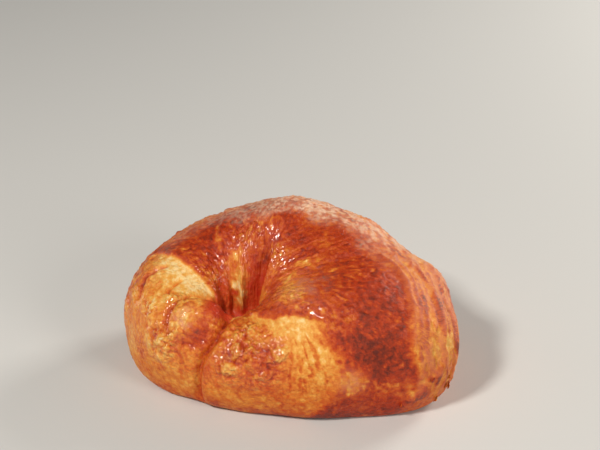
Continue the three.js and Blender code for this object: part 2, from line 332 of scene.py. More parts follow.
def from_path(path):
    """Distance from a path of (bearing, level) that is laid on the form."""
    along = np.linspace(0, len(path) - 1, PATH_STEPS)
    parts = [through([(k, point[axis]) for k, point in enumerate(path)], along) for axis in (0, 1)]
    return distance_to(place(*parts))


front, front_shown = from_edge(FRONT_EDGE)
left, left_shown = from_edge(LEFT_EDGE)
rear, rear_shown = from_edge(REAR_EDGE)
right, right_shown = from_edge(RIGHT_EDGE)
pleat, pleat_shown = from_edge(PLEAT)
layer, layer_shown = from_edge(FLANK_EDGE)
outer, outer_shown = from_edge(OUTER_EDGE)
back, back_shown = from_edge(BACK_EDGE)
seam, seam_shown = from_edge(SEAM)
left_shown = left_shown * (1 - 0.7 * smooth(2.0, 2.5, level))
print("farthest point from the front edge:", round(float(np.abs(front).max()), 1), "mm")

# %% [markdown]
# A wrap's edge is one to two millimetres thick where the dough was pulled thin, and twice that at the pleat
# in the dimple. Each step sinks back into the form after a few millimetres. The seam between the two tips is
# a groove with a low step beside it.


# %% Steps at the wraps' edges, and the seam's groove
def step(distance, shown, height, reach, half):
    """A step up onto the side where distance is positive, that sinks back to the form over reach."""
    return 0.5 * height * np.tanh(distance / half) * np.exp(-np.abs(distance) / reach) * shown


GROOVE_DEPTH, GROOVE_WIDTH, GROOVE_ASIDE = 2.6, 1.8, 0.8

steps = step(front + wander, front_shown, height=1.6, reach=9.0, half=0.7)
steps += step(wander - left, left_shown, height=2.2, reach=8.0, half=0.7)
steps += step(wander - rear, rear_shown, height=1.4, reach=7.0, half=0.8)
steps += step(right + wander, right_shown, height=1.2, reach=7.0, half=0.8)
steps += step(0.5 * wander - pleat, pleat_shown, height=4.0, reach=8.0, half=0.5)
steps += step(layer + wander, layer_shown, height=1.6, reach=6.0, half=0.5)
steps += step(outer + wander, outer_shown, height=1.3, reach=5.0, half=0.5)
steps += step(wander - back, back_shown, height=1.4, reach=7.0, half=0.6)
steps += step(seam, seam_shown, height=2.0, reach=9.0, half=2.0)
groove = GROOVE_DEPTH * bell(seam + GROOVE_ASIDE, GROOVE_WIDTH) * seam_shown
print("steps reach from", round(float(steps.min()), 2), "to", round(float(steps.max()), 2), "mm")

# %% [markdown]
# The left tip is a knob with creases round it, and the squeezed inner wall falls into folds.

# %% Knob, creases and folds
KNOB = [(219, 2.27), (221, 2.12), (226, 1.92)]
KNOB_RADIUS, KNOB_RISE, KNOB_BLUNTNESS = 7.2, 2.6, 1.1
CREASES = [
    # path of (bearing, level), depth, width
    ([(161, 2.14), (168, 2.33), (173, 2.41), (179, 2.50)], 1.3, 0.9),
    ([(172, 1.90), (180.6, 2.03), (188, 2.14)], 1.1, 0.9),
    ([(178, 1.36), (191, 1.72), (201, 2.06), (207, 2.40), (212, 2.52)], 1.3, 1.2),
    ([(213, 2.55), (218, 2.63), (224, 2.65), (234, 2.59), (244, 2.43)], 0.5, 1.2),
]
FOLDS = [
    # bearing, half width in degrees, height, first and last level
    (52, 11, -2.4, 0.6, 1.7), (88, 9, 2.6, 0.5, 1.7), (110, 7, -1.0, 0.5, 1.7),
    (121, 5, 0.4, 0.7, 1.7), (137, 9, -1.2, 0.6, 1.6),
]

crease_depth = sum(depth * bell(from_path(path) + 0.3 * wander, width) for path, depth, width in CREASES)
knob_share = np.clip((from_path(KNOB) + 2.2 * layered(plain, 7.0, 8, 2)) / KNOB_RADIUS, 0.0, 1.0)
knob = KNOB_RISE * (1.0 - knob_share ** 2) ** KNOB_BLUNTNESS
folds = sum(height * bell(from_bearing(at), half) * within(low - 0.3, low + 0.4, high - 0.5, high, level)
            for at, half, height, low, high in FOLDS)
print("folds reach from", round(float(folds.min()), 2), "to", round(float(folds.max()), 2), "mm")

# %% [markdown]
# Down the right flank and the back the layers show as long uneven ridges, and the whole crust swells slowly.
# Spots, which are bells round points of the form, carry the larger swellings here, and further down the
# blisters and the patches of colour.


# %% Flank layers and slow swellings
def from_point(at, height):
    """Distance from the point of the form at a bearing and level."""
    return np.linalg.norm(plain - place(np.array(float(at)), np.array(float(height))), axis=-1)


def sum_of_spots(spots):
    """The sum of bells round points of the form, each given by bearing, level, radius and strength."""
    return sum(strength * bell(from_point(at, up), radius) for at, up, radius, strength in spots)


def strongest_spot(spots):
    """The strongest of the bells round points of the form, each given by bearing, level and radius."""
    return np.max([bell(from_point(at, up), radius) for at, up, radius in spots], axis=0)


LAYER_HEIGHT, WAVE_HEIGHT = 0.5, 0.45
SWELLINGS = [
    # bearing, level, radius, height
    (3, 2.63, 9, 2.6), (24, 2.25, 12, 0.5), (338, 3.3, 12, 0.8),
]
past = from_bearing(through(RIGHT_EDGE, level))
flank = within(1, 5, 55, 85, past) * within(2.15, 2.45, 3.2, 3.7, level)
phase = past * 12 + 50 * np.sin(2.2 * level) - past * past * 0.04 + 22 * layered(plain, 7.0, 5)
layers = LAYER_HEIGHT * flank * (np.abs(np.sin(np.radians(phase))) ** 0.7 - 0.6)
x, y, z = np.moveaxis(plain, -1, 0)
broad_wave = np.sin(x / 11 + 1.3) * np.sin(y / 9 + 0.4)
slanted_wave = np.sin(y / 6.5 - x / 8 + z / 7 + 2)
short_wave = np.sin(x / 5.2 + z / 6.1)
swell = WAVE_HEIGHT * (broad_wave + 0.7 * slanted_wave + 0.5 * short_wave) * smooth(0.8, 1.6, level)
swell += sum_of_spots(SWELLINGS)
print("swellings reach from", round(float(swell.min()), 2), "to", round(float(swell.max()), 2), "mm")

# %% [markdown]
# Each part of the crust has a character of its own, so the next cells draw the borders once, as maps from 0
# to 1. Both the relief and the colour read these maps, which keeps them in step. First come the egg-washed
# band over the top and the two golden tips.

# %% Maps of the band and the tips
MIDDLE_OF_TIPS = 225.0

toward_front = from_bearing(MIDDLE_OF_TIPS) > 0
ragged = wander + 2.6 * layered(plain, 7.0, 28, 4)
band = np.where(toward_front, smooth(-0.7, 0.9, front + ragged), smooth(-0.6, 0.6, wander - left))
tips = 1.0 - band
warm_edge = bell(front + ragged, 2.6) * front_shown * smooth(2.2, 2.55, level)
print("share of the tips:", round(float((tips > 0.5).mean()), 3))

# %% [markdown]
# Beyond the crest the band turns tan: the right flank, where a layer tore away, and the back. Along the rim
# the glaze is a dull, whitish film with fine cracks, partly worn glaze and partly painted sheen where light
# grazes it.

# %% Maps of the tan flank and the rim's worn film and painted sheen
RIM_LINE = [
    # bearing, level where the tan back begins
    (0, 2.20), (15, 2.10), (35, 2.06), (60, 2.08), (100, 2.14), (140, 2.34), (150, 2.48),
]
RIM_SHEEN_LINE = [
    # bearing, level where the worn film and painted sheen of the rim begin
    (-25, 2.45), (-10, 2.32), (0, 2.20), (15, 2.08), (35, 1.98), (60, 1.90), (90, 1.93), (107, 2.04),
    (140, 2.20),
]
past_rim = level - through(RIM_LINE, full_bearing) + 0.12 * patchy + 0.08 * round_streaks
over_rim = smooth(-0.14, 0.16, past_rim) * (full_bearing < 180)
near_right = np.abs(from_bearing(345)) < 55
bowed = right + 1.2 * wander
flank_streaks = beside(bowed, 0.10, 1.1, 31) + 0.8 * beside(bowed, 0.16, 0.6, 32)
border = right + 2.2 * patchy + 1.2 * layered(plain, 2.6, 38, 2) + 0.8 * flank_streaks
past_right = smooth(-1.6, 2.2, border) * smooth(2.05, 2.35, level) * near_right
past_right *= 1 - 0.5 * bell(from_bearing(331), 8) * smooth(2.95, 3.15, level)
tan_flank = np.maximum(over_rim, past_right) * band

# The rim's whitish film is partly worn glaze and partly painted sheen of light grazing the rim.
rim_sheen_level = through(RIM_SHEEN_LINE, from_bearing(0))
rim_sheen_end = 0.4 * smooth(35, 10, from_bearing(0))
worn_rim_and_sheen = smooth(-0.14, 0.08, level - rim_sheen_level + 0.12 * patchy) * fade(2.2, 2.6, level - rim_sheen_end)
worn_rim_and_sheen *= (0.3 + 0.7 * smooth(-4, 12, from_bearing(0))) * smooth(-22, -4, from_bearing(0))
worn_rim_and_sheen *= bell(from_bearing(45), 80)
rim_grain = noise(flow(20.0, 1.3), 0.8, 51) + 0.6 * noise(flow(36.0, 2.0), 0.8, 52) + 0.4 * round_streaks
rim_cracks = worn_rim_and_sheen * smooth(0.20, 0.6, -rim_grain)
print("share of the tan flank:", round(float((tan_flank > 0.5).mean()), 3))

# %% [markdown]
# Beside each edge the dough is pale, because the layer above shaded it in the oven and then pulled back.
# The dimple stays soft, its red partly painted bounce light, and the glaze is puckered at a few places.

# %% Maps of the pale dough, the dimple and the puckers
PALE_LINE = [
    # level, bearing where the pale dough at the front begins
    (1.9, 283), (2.2, 291), (2.4, 297), (2.6, 299), (2.9, 299), (3.2, 302), (3.5, 309),
]
RED_LINE = [
    # bearing, level where the red of the dimple ends
    (15, 1.25), (60, 1.3), (120, 1.35), (160, 1.2), (180, 1.4), (205, 1.6), (225, 1.9), (240, 2.12),
    (253, 1.9), (263, 1.5), (285, 1.25), (345, 1.25),
]
PUCKERS = [
    # bearing, level, radius: places where the glaze is puckered
    (319, 1.90, 6.0), (326, 1.61, 6.0), (314, 2.22, 4.0), (80, 1.65, 6.0), (150, 1.5, 6.0), (30, 1.5, 5.0),
    (222, 2.33, 4.5), (318, 2.42, 4.0), (325, 2.40, 3.0),
]
into_left = np.maximum(left, 0.0) + 2.5 * patchy
past_line = from_bearing(through(PALE_LINE, level)) + 6.0 * patchy + 2.5 * front_streaks
pale_left = fade(6, 15, into_left) * within(1.1, 1.4, 2.1, 2.55, level)
pale_front = smooth(-7, 6, past_line) * smooth(1.95, 2.1, level) * (1 - 0.6 * smooth(2.6, 3.2, level))
pale_front *= 1 - 0.5 * smooth(-0.1, 0.7, layered(plain, 5.0, 29)) * smooth(2.2, 2.6, level)
pale = tips * np.where(toward_front, pale_front, pale_left)

dimple = fade(-0.16, 0.16, level - through(RED_LINE, full_bearing) + 0.06 * patchy)
right_of_pleat = smooth(-0.3, 0.3, 0.5 * wander - pleat) * (np.abs(from_bearing(10)) < 60)
gash = dimple * (1 - right_of_pleat) * bell(from_bearing(52), 22)
back_wall = bell(from_bearing(80), 62)
puckered = 0.8 * strongest_spot(PUCKERS)
print("share of the pale dough:", round(float((pale > 0.5).mean()), 3))

# %% [markdown]
# The skin itself. Steam lifts the crust into blisters where it is thin and glossy, and the blisters crumple
# as they cool. Cells of noise make good blisters: they press against each other as the real ones do.

# %% Blisters
BLISTERS = [
    # bearing, level, radius of the places where the crust came up in blisters
    (281, 2.48, 6.0), (294, 2.63, 6.0), (264, 2.71, 6.0), (263, 2.89, 5.0), (283, 2.99, 6.0),
    (279, 2.27, 5.0), (274, 2.55, 6.0), (192, 2.45, 3.0), (207, 2.69, 4.0), (217, 2.68, 4.0),
    (215, 2.88, 4.0), (196, 2.05, 5.0),
]
BLISTER_HEIGHT, SMALL_BLISTER_HEIGHT = 1.7, 0.35

lifted = strongest_spot(BLISTERS)
lifted = np.clip(lifted + 0.12 + 0.4 * patchy, 0.0, 1.0) * (1 - 0.8 * smooth(2.7, 3.1, level))
bubble_field = cells(bent, 5.8, 50)
bubbles = lifted * smooth(0.0, 0.55, bubble_field)
small_bubbles = smooth(0.0, 0.5, cells(bent, 2.6, 54))
crumple = (0.3 + 0.7 * lifted) * (0.55 * ridges(bent, 3.6, 11) + 0.30 * ridges(bent, 1.9, 12, 1))
thin_skin = tips * (1 - 0.75 * pale) * fade(2.9, 3.4, level) * (1 - dimple)
thin_skin = np.maximum(thin_skin, puckered)
blisters = thin_skin * (BLISTER_HEIGHT * bubbles + SMALL_BLISTER_HEIGHT * lifted * small_bubbles + crumple)
blistered = np.maximum(thin_skin * (0.25 + 0.75 * lifted), puckered)
print("blisters reach", round(float(blisters.max()), 2), "mm")

# %% [markdown]
# Between the blisters the crust is pulled into short wrinkles. Where the dough was stretched it shows
# fibres: down the wall of the dimple, across the pale dough, along the torn flank and round the rim.

# %% Wrinkles and fibres
WRINKLE_HEIGHT, BAND_WRINKLE_HEIGHT, PIT_FIBRE_HEIGHT = 0.14, 0.08, 0.13
STRETCH_FIBRE_HEIGHT, FURROW_DEPTH = 0.2, 0.45
FLANK_FIBRE_HEIGHT, ROUND_FIBRE_HEIGHT = 0.34, 0.30

worn = layered(plain, 12.0, 9, 2)
drawn = noise(flow(40.0, 0.5) + 0.8 * bent, 1.5, 13) * (1 - 0.6 * smooth(1.5, 2.0, level))
wrinkles = (WRINKLE_HEIGHT + BAND_WRINKLE_HEIGHT * band) * (drawn + 0.9 * noise(plain, 1.3, 14))
wrinkles *= 1 + 0.6 * worn
wrinkles += 0.25 * band * (1 - dimple) * small_bubbles * smooth(-0.2, 0.5, worn)
wrinkles *= 1 - 0.5 * pale
down = noise(flow(24.0, 0.30) + 0.6 * bent, 1.3, 15) + 0.6 * noise(flow(24.0, 0.5) + 0.6 * bent, 0.7, 16)
pit_fibres = PIT_FIBRE_HEIGHT * down * within(0.7, 1.1, 1.4, 1.9, level) * back_wall * (1 + patchy)
furrows = tips * bell(from_bearing(306), 11) * within(2.3, 2.6, 3.0, 3.3, level)
furrows *= smooth(0.25, 0.7, front_streaks)
stretch_fibres = STRETCH_FIBRE_HEIGHT * pale * toward_front * front_streaks * smooth(2.1, 2.5, level)
flank_fibres = FLANK_FIBRE_HEIGHT * (past_right + 0.25 * band) * flank_streaks * near_right
round_fibres = ROUND_FIBRE_HEIGHT * over_rim * round_streaks
fibres = pit_fibres + stretch_fibres - FURROW_DEPTH * furrows + flank_fibres + round_fibres
print("fibres reach from", round(float(fibres.min()), 2), "to", round(float(fibres.max()), 2), "mm")

# %% [markdown]
# All the relief is added up and pushed out along the slices. It fades away at the floor of the dimple and at
# the edge of the base, so that the croissant still lies flat.

# %% The relief and the finished points
skin = (blisters + wrinkles + fibres) * within(0.7, 1.1, 3.4, 3.8, level)
relief = steps - groove - crease_depth + knob + folds + layers + swell + skin
relief *= within(0.3, 0.9, 3.55, 3.95, level)
crust_points = place(bearing, level, relief)
crust_points[..., 2] = np.maximum(crust_points[..., 2], 0.0)
print("relief from", round(float(relief.min()), 2), "to", round(float(relief.max()), 2), "mm")

# %% [markdown]
# Colour is a map of how far each place is baked, from 0, butter yellow, to 1, almost burnt. The oven is never
# even, so the next cell lists the patches and thin streaks that came out paler or darker than their part of
# the crust. Some of them are painted light and shade instead: highlight and shade on the knob, light and
# sheen on the dimple's wall, rim light on the flank's edge, the shade of a pore and a hollow, and highlights
# along the lip of the front tip and the edge of a flap.

# %% Patches and streaks
PATCHES = [
    # bearing, level, radius, change
    (8, 1.83, 5.0, -0.10), (350, 1.98, 4.0, -0.08), (65, 1.75, 5.0, -0.08), (325, 2.85, 7.0, 0.04),
    # (236, 2.42) and (232, 2.52) are painted shade on the knob's lower side.
    (326, 3.1, 6.0, 0.04), (318, 3.02, 5.5, -0.42), (236, 2.42, 3.6, 0.14), (232, 2.52, 3.6, 0.12),
    # (230, 1.7) is painted shade on the slope below the knob, (335, 1.62) painted sheen on the dimple's wall,
    # and (15, 1.40) painted light on the wall right of the pleat.
    (230, 1.7, 5.0, 0.08), (335, 1.62, 5.5, -0.26), (15, 1.40, 3.5, -0.20), (323, 3.3, 10.0, -0.12),
    # (25, 1.55) is painted light on the wall right of the pleat.
    (25, 1.55, 3.5, -0.20), (97, 1.44, 4.0, -0.18), (103, 1.3, 2.5, -0.15), (345, 2.62, 6.0, 0.05),
    # (318, 1.92) is painted sheen on the dimple's wall.
    (150, 1.5, 7.0, -0.10), (318, 1.92, 6.0, -0.14), (329, 3.2, 5.0, -0.22), (336.5, 3.33, 2.0, 0.12),
    # (336.5, 3.33) is painted shade in a hollow, and the two at (315, 2.80) paint a pore's shade as a dark
    # dot in a paler ring;
    # (343, 2.84) is painted rim light on the flank's edge.
    (335, 3.18, 1.6, -0.30), (315, 2.80, 0.9, 0.60), (315, 2.80, 2.0, -0.25), (343, 2.84, 7.0, -0.20),
    # (222.5, 2.36) is a painted highlight on the knob, (325, 1.88) painted sheen on the dimple's wall.
    (316, 2.71, 3.5, -0.10), (322, 2.2, 5.0, -0.10), (222.5, 2.36, 3.5, -0.16), (325, 1.88, 5.0, -0.12),
    (332, 3.28, 5.0, -0.12), (152, 2.36, 6.0, 0.14),
]
STREAKS = [
    # path of (bearing, level), half width, change
    ([(111, 1.97), (115, 1.77), (116, 1.61), (117, 1.5)], 1.2, -0.28),
    ([(98, 1.48), (93, 1.38), (91, 1.30), (95, 1.20)], 3.4, -0.28),
    ([(95, 1.18), (93, 1.12), (92, 1.06)], 2.0, -0.22),
    ([(360, 1.73), (361, 1.61), (355, 1.56), (347, 1.51)], 1.5, -0.42),
    # The next streak is a painted highlight along the edge of a flap.
    ([(315, 3.20), (318, 3.19), (320, 3.16), (322.3, 3.06)], 0.6, -0.36),
    ([(353, 2.46), (348, 2.56), (343.4, 2.69), (341, 2.84)], 0.35, 0.30),
    ([(8, 2.26), (2.5, 2.35), (-3, 2.43), (-6, 2.52)], 0.4, 0.28),
    ([(333, 3.46), (335.6, 3.40), (337.8, 3.27), (338.4, 3.16)], 0.5, 0.45),
    # The next streak is a painted highlight along the lip of the front tip, where it meets the dimple.
    ([(262, 1.79), (278, 1.97), (290, 1.97), (297, 1.93)], 0.6, -0.30),
    ([(332.6, 3.18), (333, 3.28), (333.4, 3.40)], 0.7, -0.22),
]
mottle = layered(bent, 1.7, 22, 2)
torn = np.clip(0.9 + 1.6 * layered(plain, 3.0, 35, 2), 0.0, 1.5)
changes = sum_of_spots(PATCHES)
changes += torn * sum(change * bell(from_path(path) + wander + 0.8 * mottle, width)
                      for path, width, change in STREAKS)
print("patches change the baking by", round(float(changes.min()), 2), "to", round(float(changes.max()), 2))

# %% [markdown]
# Each part starts from one number and varies round it. The egg-washed band is dark, the flank tan, the tips
# golden and the shaded dough like butter. Blisters are paler on top than the valleys between them, partly
# their own colour and partly painted highlight and shade. Torn edges are darker, and the creases and the
# seam's groove are painted darker as painted shade.

# %% How far each part is baked
BAND_BAKED, TAN_BAKED, TAN_LEAST, DIMPLE_BAKED = 0.79, 0.45, 0.32, 0.57
FRONT_TIP_BAKED, LEFT_TIP_BAKED = 0.59, 0.45
FRONT_BUTTER_BAKED, LEFT_BUTTER_BAKED = 0.20, 0.09

wide = layered(plain, 14.0, 27, 2)
flecks = smooth(0.2, 0.6, noise(flow(40.0, 0.45) + bent, 1.7, 26)) * smooth(-0.4, 0.3, patchy)
deep = bell(from_point(327, 2.7), 22.0)
# Puckered places are painted lighter in the band, as painted sheen over their glints.
dark = BAND_BAKED + 0.10 * wide + 0.18 * mottle - 0.24 * flecks + 0.05 * drawn + 0.10 * deep - 0.15 * puckered

on_flank = past_right > over_rim
streaks = np.where(on_flank, flank_streaks, round_streaks)
crevices = smooth(0.35, 0.8, streaks) * smooth(-0.3, 0.4, patchy)
tan = TAN_BAKED + 0.10 * patchy + 0.12 * mottle + 0.14 * streaks
tan += np.where(on_flank, 0.34, 0.20) * crevices + 0.30 * rim_cracks
tan = np.maximum(tan, TAN_LEAST)

golden = np.where(toward_front, FRONT_TIP_BAKED, LEFT_TIP_BAKED)
golden += 0.12 * patchy + 0.12 * mottle + 0.14 * layered(bent, 4.5, 53, 2)
# Blister tops are painted paler and their valleys darker, partly their own colour and partly painted
# highlight and shade.
golden -= 0.16 * crumple + (0.20 + 0.16 * mottle) * bubbles + 0.08 * small_bubbles
golden += 0.16 * smooth(0.55, 1.0, ridges(bent, 4.5, 55, 2)) * smooth(-0.3, 0.3, patchy)
golden += 0.12 * lifted * fade(0.0, 0.2, bubble_field)
golden -= 0.06 * toward_front * smooth(2.9, 3.2, level)
butter = np.where(toward_front, FRONT_BUTTER_BAKED + 0.09 * front_streaks, LEFT_BUTTER_BAKED + 0.08 * mottle)
butter += 0.10 * mottle

# Right of the pleat the dimple's wall is painted lighter and less red, as painted light where the key falls
# on it.
inner = DIMPLE_BAKED + 0.12 * mottle + 0.08 * down * back_wall - 0.04 * gash - 0.14 * right_of_pleat
inner -= 0.16 * bell(level - 1.0, 0.16)

layer_end = bell(layer + wander - 0.4, 0.7) * layer_shown + bell(outer + wander - 0.4, 0.7) * outer_shown
baked = band * (dark + (tan - dark) * tan_flank) + tips * (golden + (butter - golden) * pale)
# The creases here and the seam's groove on the next line are painted darker, as painted shade in them.
baked += 0.26 * furrows + 0.20 * warm_edge * (tips - band) + 0.24 * crease_depth + 0.12 * layer_end
baked += 0.14 * bell(seam + GROOVE_ASIDE, 1.2) * seam_shown
baked += changes + (inner - baked) * dimple
baked = np.clip(baked + 0.10 * smooth(3.1, 3.8, level), 0.0, 1.0)
print("baked, mean:", round(float(baked.mean()), 3))

# %% [markdown]
# A second map says how red a place is. On the band that is the crust's own red tone; in the dimple it is
# painted bounce light, the red that light takes on between its walls. A third is the whitish frost: partly
# a worn film on the rim and the torn layers, partly painted sheen along the rim and at a few spots. The last
# says how glossy the egg wash left each place. Giving the maps to the mesh lets the nodes add the fine grain.

# %% Red tone and painted bounce light, frost and painted sheen, and gloss
PAINTED_SHEENS = [
    # bearing, level, radius, share: places with a painted whitish sheen
    (331, 1.83, 8.0, 0.35), (222, 2.34, 4.0, 0.35), (318, 3.02, 5.0, 0.22),
]
# In the dimple the red is painted bounce light, strongest in the gash and weaker on the lit wall right of the
# pleat; on the band it is the crust's red tone.
red = dimple * (0.8 + 0.4 * gash) * (1 - 0.6 * right_of_pleat)
red += 0.22 * band * (1 - tan_flank) * (1 - deep) * (wide + 0.4)
red = np.clip(red * (1 + 2.5 * np.minimum(changes, 0.0)), 0.0, 1.0)

# The frost map is partly a worn film and partly painted sheen, along the rim and at the listed spots.
frost_and_sheen = worn_rim_and_sheen * (0.35 + 0.65 * smooth(-0.35, 0.35, rim_grain + 0.5 * patchy))
frost_and_sheen = np.maximum(frost_and_sheen, 0.15 * past_right * smooth(-0.4, 0.5, flank_streaks))
frost_and_sheen = np.maximum(frost_and_sheen, sum_of_spots(PAINTED_SHEENS) * smooth(-0.5, 0.5, mottle))

gloss = 0.35 + 0.25 * band * (1 - tan_flank) * (1 - 1.2 * deep) + 0.8 * blistered
gloss -= 0.3 * pale + 0.25 * tan_flank + 0.4 * bell(from_bearing(145), 28) * smooth(1.6, 1.9, level) * band
gloss = np.clip(gloss * (1 - 0.5 * smooth(2.9, 3.4, level)), 0.0, 1.0)
print("share that is glossy:", round(float((gloss > 0.5).mean()), 3))

# %% [markdown]
# The mesh is closed at the floor of the dimple and in the middle of the base by one point each. foreach_set
# fills Blender's mesh straight from the arrays, and the maps become attributes of its points.


# %% Make the crust's mesh
def mesh_piece(name, points, quads, triangles, values):
    """An object from points in millimetres, its quads and triangles, and a number per point for each map."""
    corners = np.concatenate([quads.ravel(), triangles.ravel()])
    sizes = np.concatenate([np.full(len(quads), 4), np.full(len(triangles), 3)])
    mesh = bpy.data.meshes.new(name)
    mesh.vertices.add(len(points))
    mesh.vertices.foreach_set("co", points.ravel() * MM)
    mesh.loops.add(len(corners))
    mesh.loops.foreach_set("vertex_index", corners)
    mesh.polygons.add(len(sizes))
    mesh.polygons.foreach_set("loop_start", np.concatenate([[0], np.cumsum(sizes)[:-1]]))
    mesh.update(calc_edges=True)
    mesh.validate()
    mesh.shade_smooth()
    for label, field in values.items():
        mesh.attributes.new(label, "FLOAT", "POINT").data.foreach_set("value", field)
    piece = bpy.data.objects.new(name, mesh)
    bpy.context.scene.collection.objects.link(piece)
    return piece


def closed_rings(rings):
    """Quads between rings of points (column, row), and a fan of triangles to one more point at each end."""
    across, down = rings.shape[:2]
    index = np.arange(across * down).reshape(across, down)
    after = np.roll(index, -1, axis=0)
    quads = np.stack([index[:, :-1], index[:, 1:], after[:, 1:], after[:, :-1]], axis=-1).reshape(-1, 4)
    pole = np.full(across, across * down)
    fans = np.concatenate([np.stack([pole, index[:, 0], after[:, 0]], axis=-1),
                           np.stack([pole + 1, after[:, -1], index[:, -1]], axis=-1)])
    return quads, fans


poles = [place(np.array(0.0), np.array(end)) for end in (0.0, 5.0)]
all_points = np.concatenate([crust_points.reshape(-1, 3), poles])
maps = {"baked": baked, "red": red, "gloss": gloss, "blistered": blistered, "frost_and_sheen": frost_and_sheen}
values = {label: np.concatenate([field.ravel(), [field[:, 0].mean(), field[:, -1].mean()]])
          for label, field in maps.items()}
crust = mesh_piece("crust", all_points, *closed_rings(crust_points), values)
print("crust:", len(crust.data.polygons), "faces")

# %% [markdown]
# Thin shards of crust have come loose along the ends of the wraps. Each is a bent scale with an uneven
# outline, closed above and below, that leans on the crust with one edge lifted. All of them are one mesh,
# worked out in one go from arrays with a row for each shard. First they get their places.

# %% Places of the loose flakes
FLAKE_EDGES = [
    # edge, first and last level, number of flakes
    (FLANK_EDGE, 3.0, 3.5, 4), (OUTER_EDGE, 3.2, 3.6, 9), (BACK_EDGE, 2.4, 3.5, 5),
]
BEARING_SCATTER = 0.6
draw = np.random.default_rng(8)

flake_levels = np.concatenate([draw.uniform(low, high, number) for _, low, high, number in FLAKE_EDGES])
flake_paths = [path for path, _, _, number in FLAKE_EDGES for _ in range(number)]
flake_bearings = np.array([through(path, up) for path, up in zip(flake_paths, flake_levels)], float)
flake_bearings += draw.normal(0.0, BEARING_SCATTER, len(flake_levels))
column = np.argmin(np.abs(turn(columns[None, :] - flake_bearings[:, None])), axis=1)
row = np.argmin(np.abs(levels[None, :] - flake_levels[:, None]), axis=1)
foot = crust_points[column, row]
outward = place(flake_bearings, flake_levels, 1.0) - place(flake_bearings, flake_levels)
lengthwise = place(flake_bearings, flake_levels + 0.02) - place(flake_bearings, flake_levels - 0.02)
lengthwise /= np.linalg.norm(lengthwise, axis=-1, keepdims=True)
sideways = np.cross(outward, lengthwise)
count = len(flake_levels)
print("flakes to make:", count)

# %% [markdown]
# A shard is a fan round its middle point with an upper and a lower side. Its corners lie at uneven
# distances, it tilts by one slope, and it bends down towards its ends by the square of the distance.

# %% Make the flakes
FLAKE_CORNERS = 9
FLAKE_LENGTH, FLAKE_WIDTH, FLAKE_THICKNESS = 1.3, 0.9, 0.12
FLAKE_SIZES, CORNER_SPREAD, FLAKE_TILTS = (0.5, 1.3), (0.3, 1.2), (0.1, 0.5)
FLAKE_BEND, FLAKE_GAP = 0.12, 0.1
FLAKE_SHIFT, FLAKE_SHADES, FLAKE_GLOSS = -0.12, 0.10, 0.25

around_flake = np.arange(FLAKE_CORNERS) * 2 * math.pi / FLAKE_CORNERS
size = draw.uniform(*FLAKE_SIZES, (count, 1))
spread = draw.uniform(*CORNER_SPREAD, (count, FLAKE_CORNERS)) * size
u = np.concatenate([np.zeros((count, 1)), FLAKE_LENGTH * spread * np.cos(around_flake)], axis=1)
v = np.concatenate([np.zeros((count, 1)), FLAKE_WIDTH * spread * np.sin(around_flake)], axis=1)
slope = draw.uniform(*FLAKE_TILTS, (count, 1)) * draw.choice([-1.0, 1.0], (count, 1))
height = FLAKE_GAP + np.abs(slope) * FLAKE_WIDTH * size + slope * v - FLAKE_BEND * u * u / size
middle = foot[:, None] + u[..., None] * lengthwise[:, None] + v[..., None] * sideways[:, None]
sides = [middle + (height + half * FLAKE_THICKNESS)[..., None] * outward[:, None] for half in (0.5, -0.5)]
shards = np.concatenate(sides, axis=1)

corner = 1 + np.arange(FLAKE_CORNERS)
next_corner = np.roll(corner, -1)
under = FLAKE_CORNERS + 1
top = np.stack([0 * corner, corner, next_corner], axis=-1)
bottom = np.stack([0 * corner + under, next_corner + under, corner + under], axis=-1)
wall = np.stack([corner, corner + under, next_corner + under, next_corner], axis=-1)
offsets = (np.arange(count) * 2 * under)[:, None, None]
shade = np.clip(baked[column, row] + draw.normal(FLAKE_SHIFT, FLAKE_SHADES, count), 0.0, 1.0)
flake_values = {label: np.zeros(count * 2 * under) for label in maps}
flake_values["baked"] = np.repeat(shade, 2 * under)
flake_values["gloss"] += FLAKE_GLOSS
flakes = mesh_piece("flakes", shards.reshape(-1, 3), (wall + offsets).reshape(-1, 4),
                    (np.concatenate([top, bottom]) + offsets).reshape(-1, 3), flake_values)
print("flakes:", count, "shards,", len(flakes.data.polygons), "faces")

# %% [markdown]
# The crust's material turns the maps into colour. A few small functions keep the nodes readable: one makes
# a node with its inputs set or linked, the others make the kinds that come up often.


# %% A small kit for nodes
def colour(red, green, blue):
    """A colour as it looks on a screen, 0 to 255, turned into the light it stands for."""
    parts = np.array([red, green, blue]) / 255.0
    linear = np.where(parts <= 0.04045, parts / 12.92, ((parts + 0.055) / 1.055) ** 2.4)
    return (*linear, 1.0)


def make_node(tree, kind, settings=(), **inputs):
    """Adds a node, sets its properties, and sets or links its inputs, named with _ for a space."""
    node = tree.nodes.new(kind)
    for name, value in dict(settings).items():
        setattr(node, name, value)
    for name, value in inputs.items():
        socket = node.inputs[int(name[1:])] if name[1:].isdigit() else node.inputs[name.replace("_", " ")]
        if isinstance(value, bpy.types.NodeSocket):
            tree.links.new(value, socket)
        else:
            socket.default_value = value
    return node


def calculate(tree, operation, *values):
    """A Math node's result."""
    numbered = {f"i{k}": value for k, value in enumerate(values)}
    return make_node(tree, "ShaderNodeMath", {"operation": operation}, **numbered).outputs[0]


def read_map(tree, name):
    """One of the mesh's maps, as a number."""
    return make_node(tree, "ShaderNodeAttribute", {"attribute_name": name}).outputs["Fac"]


def blend(tree, share, first, second):
    """A colour that goes from the first to the second as the share goes from 0 to 1."""
    return make_node(tree, "ShaderNodeMix", {"data_type": "RGBA"}, i0=share, i6=first, i7=second).outputs[2]


